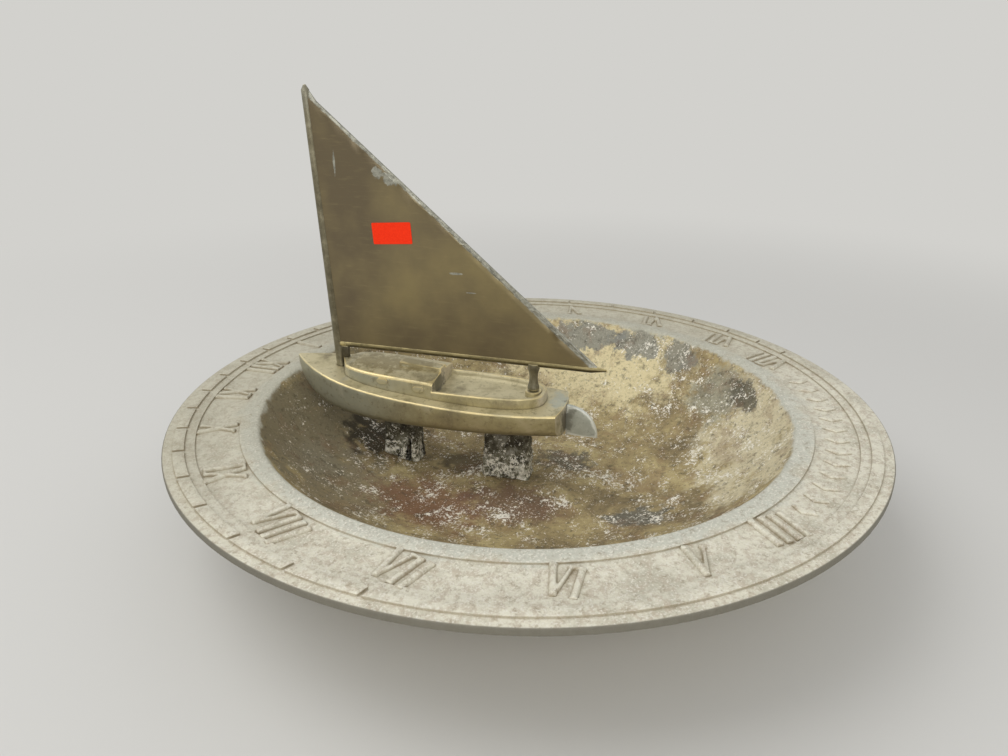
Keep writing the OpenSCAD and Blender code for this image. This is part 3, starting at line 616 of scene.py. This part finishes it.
def dressNode(node, shape, paint):
    # A copy of the node's mesh, cleaned, softened and painted, which then stands for the node
    piece = bpy.data.objects.new(shape["name"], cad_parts[node].data.copy())
    bpy.context.scene.collection.objects.link(piece)
    pickOut(piece, "polygons", lambda face: True)
    bpy.ops.mesh.remove_doubles(threshold=mergeGap * mm)
    bpy.ops.mesh.dissolve_limited(angle_limit=math.radians(flatAngle))
    splitLarge()
    bpy.ops.object.mode_set(mode="OBJECT")
    for _ in range(shape.get("cuts", 0)):
        at = [v.co.copy() for v in piece.data.vertices]
        limit = shape["maxEdge"] * mm
        pickOut(piece, "edges", lambda edge: (at[edge.vertices[0]] - at[edge.vertices[1]]).length > limit)
        bpy.ops.mesh.subdivide(number_cuts=1)
        splitLarge()
        bpy.ops.object.mode_set(mode="OBJECT")
    marks = []
    mesh = bmesh.new()
    mesh.from_mesh(piece.data)
    for e in mesh.edges:
        if (len(e.link_faces) == 2 and e.calc_face_angle_signed(0) > math.radians(shape["wearAngle"])
                and sum(f.normal.z for f in e.link_faces) > shape["wearUp"]):
            a, b = e.verts[0].co, e.verts[1].co
            steps = max(1, int((b - a).length / (markStep * mm)))
            marks += [a.lerp(b, i / steps) for i in range(steps + 1)]
    mesh.free()
    if "bevel" in shape:
        soften = piece.modifiers.new("soft edges", "BEVEL")
        soften.width = shape["bevel"] * mm
        soften.segments = 2
        soften.limit_method = "ANGLE"
        soften.angle_limit = math.radians(shape["bevelAngle"])
        bpy.ops.object.modifier_apply(modifier=soften.name)
    if "crust" in shape:
        cloud = bpy.data.textures.new(shape["name"], "CLOUDS")
        cloud.noise_scale = shape["crustSize"] * mm
        cloud.noise_depth = 4
        rough = piece.modifiers.new("crust", "DISPLACE")
        rough.texture = cloud
        rough.texture_coords = "LOCAL"
        rough.strength = shape["crust"] * mm
        rough.mid_level = shape["crustIn"]
        bpy.ops.object.modifier_apply(modifier=rough.name)
    nearest = kdtree.KDTree(len(marks))
    for i, m in enumerate(marks):
        nearest.insert(m, i)
    nearest.balance()
    wear = piece.data.attributes.new("edgeWear", "FLOAT", "POINT")
    for i, v in enumerate(piece.data.vertices):
        wear.data[i].value = nearest.find(v.co)[2] / mm
    bpy.ops.object.shade_smooth_by_angle(angle=math.radians(shape["smooth"]))
    piece.select_set(False)
    piece.data.materials.clear()
    piece.data.materials.append(paint)
    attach(piece, "root")
    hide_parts(node)
    print(shape["name"], "has", len(piece.data.polygons), "faces and", len(marks), "wear marks")
    return piece


# Edges over maxEdge are halved, up to cuts times. A bevel softens edges sharper than bevelAngle. An edge is
# rubbed if it is sharper than wearAngle and its two faces look up enough: wearUp is the sum of their normals'
# heights, so -2 takes any edge. Crust is how strong a lumpy surface is, crustSize how large its lumps are,
# and crustIn the share of its relief that goes inwards
dishShape = {"name": "cast_dish", "bevel": 0.3, "bevelAngle": 50, "smooth": 35, "wearAngle": 60, "wearUp": -2}
hullShape = {"name": "rubbed_hull", "cuts": 2, "maxEdge": 4, "bevel": 0.25, "bevelAngle": 50, "smooth": 40,
    "wearAngle": 21, "wearUp": 0.3}
cabinShape = {"name": "rubbed_cabin", "cuts": 2, "maxEdge": 3, "bevel": 0.2, "bevelAngle": 50, "smooth": 35,
    "wearAngle": 19, "wearUp": 0.5}
boomShape = {"name": "worn_boom", "bevel": 0.2, "bevelAngle": 40, "smooth": 35, "wearAngle": 50, "wearUp": -2}
mastShape = {**boomShape, "name": "worn_mast", "wearUp": 0.7}
crutchShape = {**boomShape, "name": "worn_crutch", "wearAngle": 40}
rudderShape = {"name": "worn_rudder", "cuts": 2, "maxEdge": 3, "bevel": 0.35, "bevelAngle": 40, "smooth": 35,
    "wearAngle": 50, "wearUp": -2}
sailShape = {"name": "satin_sail", "cuts": 5, "maxEdge": 4, "bevel": 0.2, "bevelAngle": 20, "smooth": 20,
    "wearAngle": 30, "wearUp": -2}
frontLegShape = {"name": "crusted_front_leg", "cuts": 5, "maxEdge": 1, "smooth": 60, "wearAngle": 60,
    "wearUp": -2, "crust": 2.0, "crustSize": 5, "crustIn": 0.7}
rearLegShape = {**frontLegShape, "name": "crusted_rear_leg"}

dressNode("dish", dishShape, dishPaint)
dressNode("boat_hull", hullShape, hullPaint)
dressNode("cabin", cabinShape, hullPaint)
dressNode("mast", mastShape, rigPaint)
dressNode("boom", boomShape, boomPaint)
dressNode("boom_crutch", crutchShape, rigPaint)
dressNode("rudder", rudderShape, rudderPaint)
sail = dressNode("sail", sailShape, sailPaint)
dressNode("front_leg", frontLegShape, legPaint)
dressNode("rear_leg", rearLegShape, legPaint)
for node in ("hold_down_studs", "hold_down_washers", "hold_down_nuts"):
    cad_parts[node].data.materials.clear()
    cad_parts[node].data.materials.append(steelPaint)

# Distance of each point of the sail from its long after edge, for the bare strip
clew = min(sail.data.vertices, key=lambda v: v.co.y).co.copy()
peak = max(sail.data.vertices, key=lambda v: v.co.z).co.copy()
along = peak - clew
along.x = 0
along.normalize()
strip = sail.data.attributes.new("leechWear", "FLOAT", "POINT")
for i, v in enumerate(sail.data.vertices):
    off = v.co - clew
    strip.data[i].value = abs(off.y * along.z - off.z * along.y) / mm
print("CAD nodes dressed")


# Raised numerals on the sunk band

numeralLook = {
    "latitude": 46.5,  # that the hour lines are laid out for, in degrees
    "meetY": -52.0,  # where the hour lines meet
    "middleR": 154.2,  # radius of the numerals' middles
    "height": 16.6,  # radial height
    "stroke": 2.5,  # width of a thick stroke
    "thin": 1.5,  # width of a thin stroke
    "serif": 1.3,  # width of the short bars on the strokes' ends
    "bar": 1.6,  # half a bar's length
    "pitch": 4.7,  # distance between the strokes of I
    "wide": 9.4,  # width of V and X at the open end
    "relief": 1.35,  # height over the band
    "draft": 0.42,  # share of a stroke's width that its foot is wider and its top narrower
    "root": 0.4,  # depth that a shape goes into the band
    "sunk": 0.8,  # depth of the band under the rim's top
    "voxel": 0.45,  # fineness of the fused mesh
}
# From 4 in the morning to 8 in the evening
hours = dict(enumerate("IIII V VI VII VIII IX X XI XII I II III IIII V VI VII VIII".split(), start=4))
bandFloor = rimTop - numeralLook["sunk"]


def applyPlace(piece):
    bpy.ops.object.select_all(action="DESELECT")
    bpy.context.view_layer.objects.active = piece
    piece.select_set(True)
    bpy.ops.object.transform_apply(location=True, rotation=True, scale=True)


def drawIn(piece, share):
    # Makes the top face smaller than the foot, as a cast shape's draft does
    pickOut(piece, "polygons", lambda face: face.normal.z > 0.9)
    bpy.ops.transform.resize(value=(share[0], share[1], 1))
    bpy.ops.object.mode_set(mode="OBJECT")


def addBar(start, end, width):
    # One raised stroke from start to end, with its width at half its height
    look = numeralLook
    run = Vector(end) - Vector(start)
    high = look["relief"] + look["root"]
    long = run.length + look["draft"] * width
    wide = width * (1 + look["draft"])
    bpy.ops.mesh.primitive_cube_add(size=1, location=(0, 0, 0), scale=place((long, wide, high)))
    bar = bpy.context.active_object
    applyPlace(bar)
    drawIn(bar, (1 - 2 * look["draft"] * width / long, (1 - look["draft"]) / (1 + look["draft"])))
    middle = (Vector(start) + Vector(end)) / 2
    bar.location = place((middle.x, middle.y, high / 2 - look["root"]))
    bar.rotation_euler = (0, 0, math.atan2(run.y, run.x))
    applyPlace(bar)
    return bar


def joinAll(parts, name):
    bpy.ops.object.select_all(action="DESELECT")
    for part in parts:
        part.select_set(True)
    bpy.context.view_layer.objects.active = parts[0]
    bpy.ops.object.join()
    parts[0].name = name
    applyPlace(parts[0])
    return parts[0]


def addLetter(letter):
    # Feet on y = 0, middle on x = 0, short bars across the ends of its strokes
    look = numeralLook
    h, lean = look["height"], (look["wide"] - look["stroke"]) / 2
    if letter == "I":
        strokes, ends = [((0, 0), (0, h), look["stroke"])], [(0, 0), (0, h)]
    else:
        foot = 0 if letter == "V" else lean
        strokes = [((-lean, h), (foot, 0), look["stroke"]), ((lean, h), (-foot, 0), look["thin"])]
        ends = [(-lean, h), (lean, h)] + ([(foot, 0), (-foot, 0)] if foot else [])
    strokes += [((x - look["bar"], y), (x + look["bar"], y), look["serif"]) for x, y in ends]
    return joinAll([addBar(*stroke) for stroke in strokes], "letter " + letter)


def copyTo(model, spot, turned):
    # A copy with its own mesh, on the band at a place in mm
    piece = bpy.data.objects.new(model.name, model.data.copy())
    bpy.context.scene.collection.objects.link(piece)
    piece.location = place((spot.x, spot.y, bandFloor))
    piece.rotation_euler = (0, 0, turned)
    return piece


def hourPoint(hour, radius):
    # Where the hour's line crosses a circle about the dish's middle, and the line's direction
    turned = math.radians(15 * (hour - 12))
    theta = math.atan2(math.sin(math.radians(numeralLook["latitude"])) * math.sin(turned), math.cos(turned))
    d = -numeralLook["meetY"]
    reach = d * math.cos(theta) + math.sqrt(radius ** 2 - (d * math.sin(theta)) ** 2)
    across, up = math.sin(theta), math.cos(theta)
    return Vector((reach * across, reach * up - d)), Vector((across, up))


def finishPiece(piece, paint, smooth, voxel=None):
    bpy.ops.object.select_all(action="DESELECT")
    bpy.context.view_layer.objects.active = piece
    piece.select_set(True)
    piece.data.materials.clear()
    piece.data.materials.append(paint)
    if voxel:
        fuse = piece.modifiers.new("fused", "REMESH")
        fuse.mode = "VOXEL"
        fuse.voxel_size = voxel * mm
        bpy.ops.object.modifier_apply(modifier=fuse.name)
        soften = piece.modifiers.new("worn", "SMOOTH")
        soften.factor = 0.5
        soften.iterations = 3
        bpy.ops.object.modifier_apply(modifier=soften.name)
    bpy.ops.object.shade_smooth_by_angle(angle=math.radians(smooth))
    piece.select_set(False)
    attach(piece, "root")
    print(piece.name, "has", len(piece.data.polygons), "faces")


models = {letter: addLetter(letter) for letter in "IVX"}
letters = []
for hour, word in hours.items():
    middle, outward = hourPoint(hour, numeralLook["middleR"])
    across = Vector((-outward.y, outward.x))
    widths = [numeralLook["pitch"] if letter == "I" else numeralLook["wide"] for letter in word]
    u = -sum(widths) / 2
    for letter, width in zip(word, widths):
        spot = middle + outward * numeralLook["height"] / 2 + across * (u + width / 2)
        letters.append(copyTo(models[letter], spot, math.atan2(across.y, across.x)))
        u += width
for model in models.values():
    bpy.data.objects.remove(model)
finishPiece(joinAll(letters, "hour_numerals"), dishPaint, 60, numeralLook["voxel"])
print("numerals raised")


# A plain row of raised lozenges on the same band

lozengeLook = {
    "from": 241,  # degrees from the evening side, the first and last of the row
    "to": 294,
    "count": 13,
    "long": 13,
    "wide": 7.5,
    "relief": 0.9,
    "draft": 0.84,  # size of the top beside the foot
}
bpy.ops.mesh.primitive_cylinder_add(vertices=4, radius=0.5 * mm, depth=mm, location=(0, 0, 0))
lozenge = bpy.context.active_object
high = lozengeLook["relief"] + numeralLook["root"]
lozenge.scale = (lozengeLook["long"], lozengeLook["wide"], high)
applyPlace(lozenge)
drawIn(lozenge, (lozengeLook["draft"], lozengeLook["draft"]))
lozenge.location.z = (high / 2 - numeralLook["root"]) * mm
applyPlace(lozenge)
row = []
for i in range(lozengeLook["count"]):
    part = i / (lozengeLook["count"] - 1)
    angle = math.radians(lozengeLook["from"] * (1 - part) + lozengeLook["to"] * part)
    spot = Vector((math.cos(angle), math.sin(angle))) * numeralLook["middleR"]
    row.append(copyTo(lozenge, spot, angle))
bpy.data.objects.remove(lozenge)
finishPiece(joinAll(row, "lozenge_row"), dishPaint, 60, numeralLook["voxel"])
print("lozenges raised")


# Paper label on the port face of the sail

labelLook = {
    "middle": (70.6, 142.6),  # y and z
    "long": 21.5,
    "high": 11,
    "thick": 0.15,
    "gap": 0.01,  # air between the label and the sail
    "corner": 0.6,
    "tilt": -4,  # degrees
    "fibres": [(0.35, "#F52D04"), (0.65, "#FF380C")],
    "fibre": 0.6,
    "rough": 0.8,
    "specular": 0.25,
}


def paintLabel():
    # Fluorescent orange paper, matt and even
    material, tree, shader, spot = newMaterial("orange label paper")
    fibre = addNode(tree, "TexNoise", spot, 1000 / labelLook["fibre"], 3, 0.6)
    colour = addNode(tree, "ValToRGB", fibre, stops=labelLook["fibres"])
    tree.links.new(colour.outputs[0], shader.inputs["Base Color"])
    shader.inputs["Roughness"].default_value = labelLook["rough"]
    shader.inputs["Specular IOR Level"].default_value = labelLook["specular"]
    return material


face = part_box("sail")[0].x / mm
bpy.ops.mesh.primitive_cube_add(size=1, location=(0, 0, 0),
    scale=place((labelLook["thick"], labelLook["long"], labelLook["high"])))
label = bpy.context.active_object
label.name = "blank_price_label"
applyPlace(label)
at = [v.co.copy() for v in label.data.vertices]
pickOut(label, "edges", lambda edge: abs(at[edge.vertices[0]].x - at[edge.vertices[1]].x) > 0.1 * mm)
bpy.ops.mesh.bevel(offset=labelLook["corner"] * mm, segments=3)
bpy.ops.object.mode_set(mode="OBJECT")
label.rotation_euler = (math.radians(labelLook["tilt"]), 0, 0)
label.location = place((face - labelLook["gap"] - labelLook["thick"] / 2, *labelLook["middle"]))
applyPlace(label)
finishPiece(label, paintLabel(), 40)
print("label stuck on")
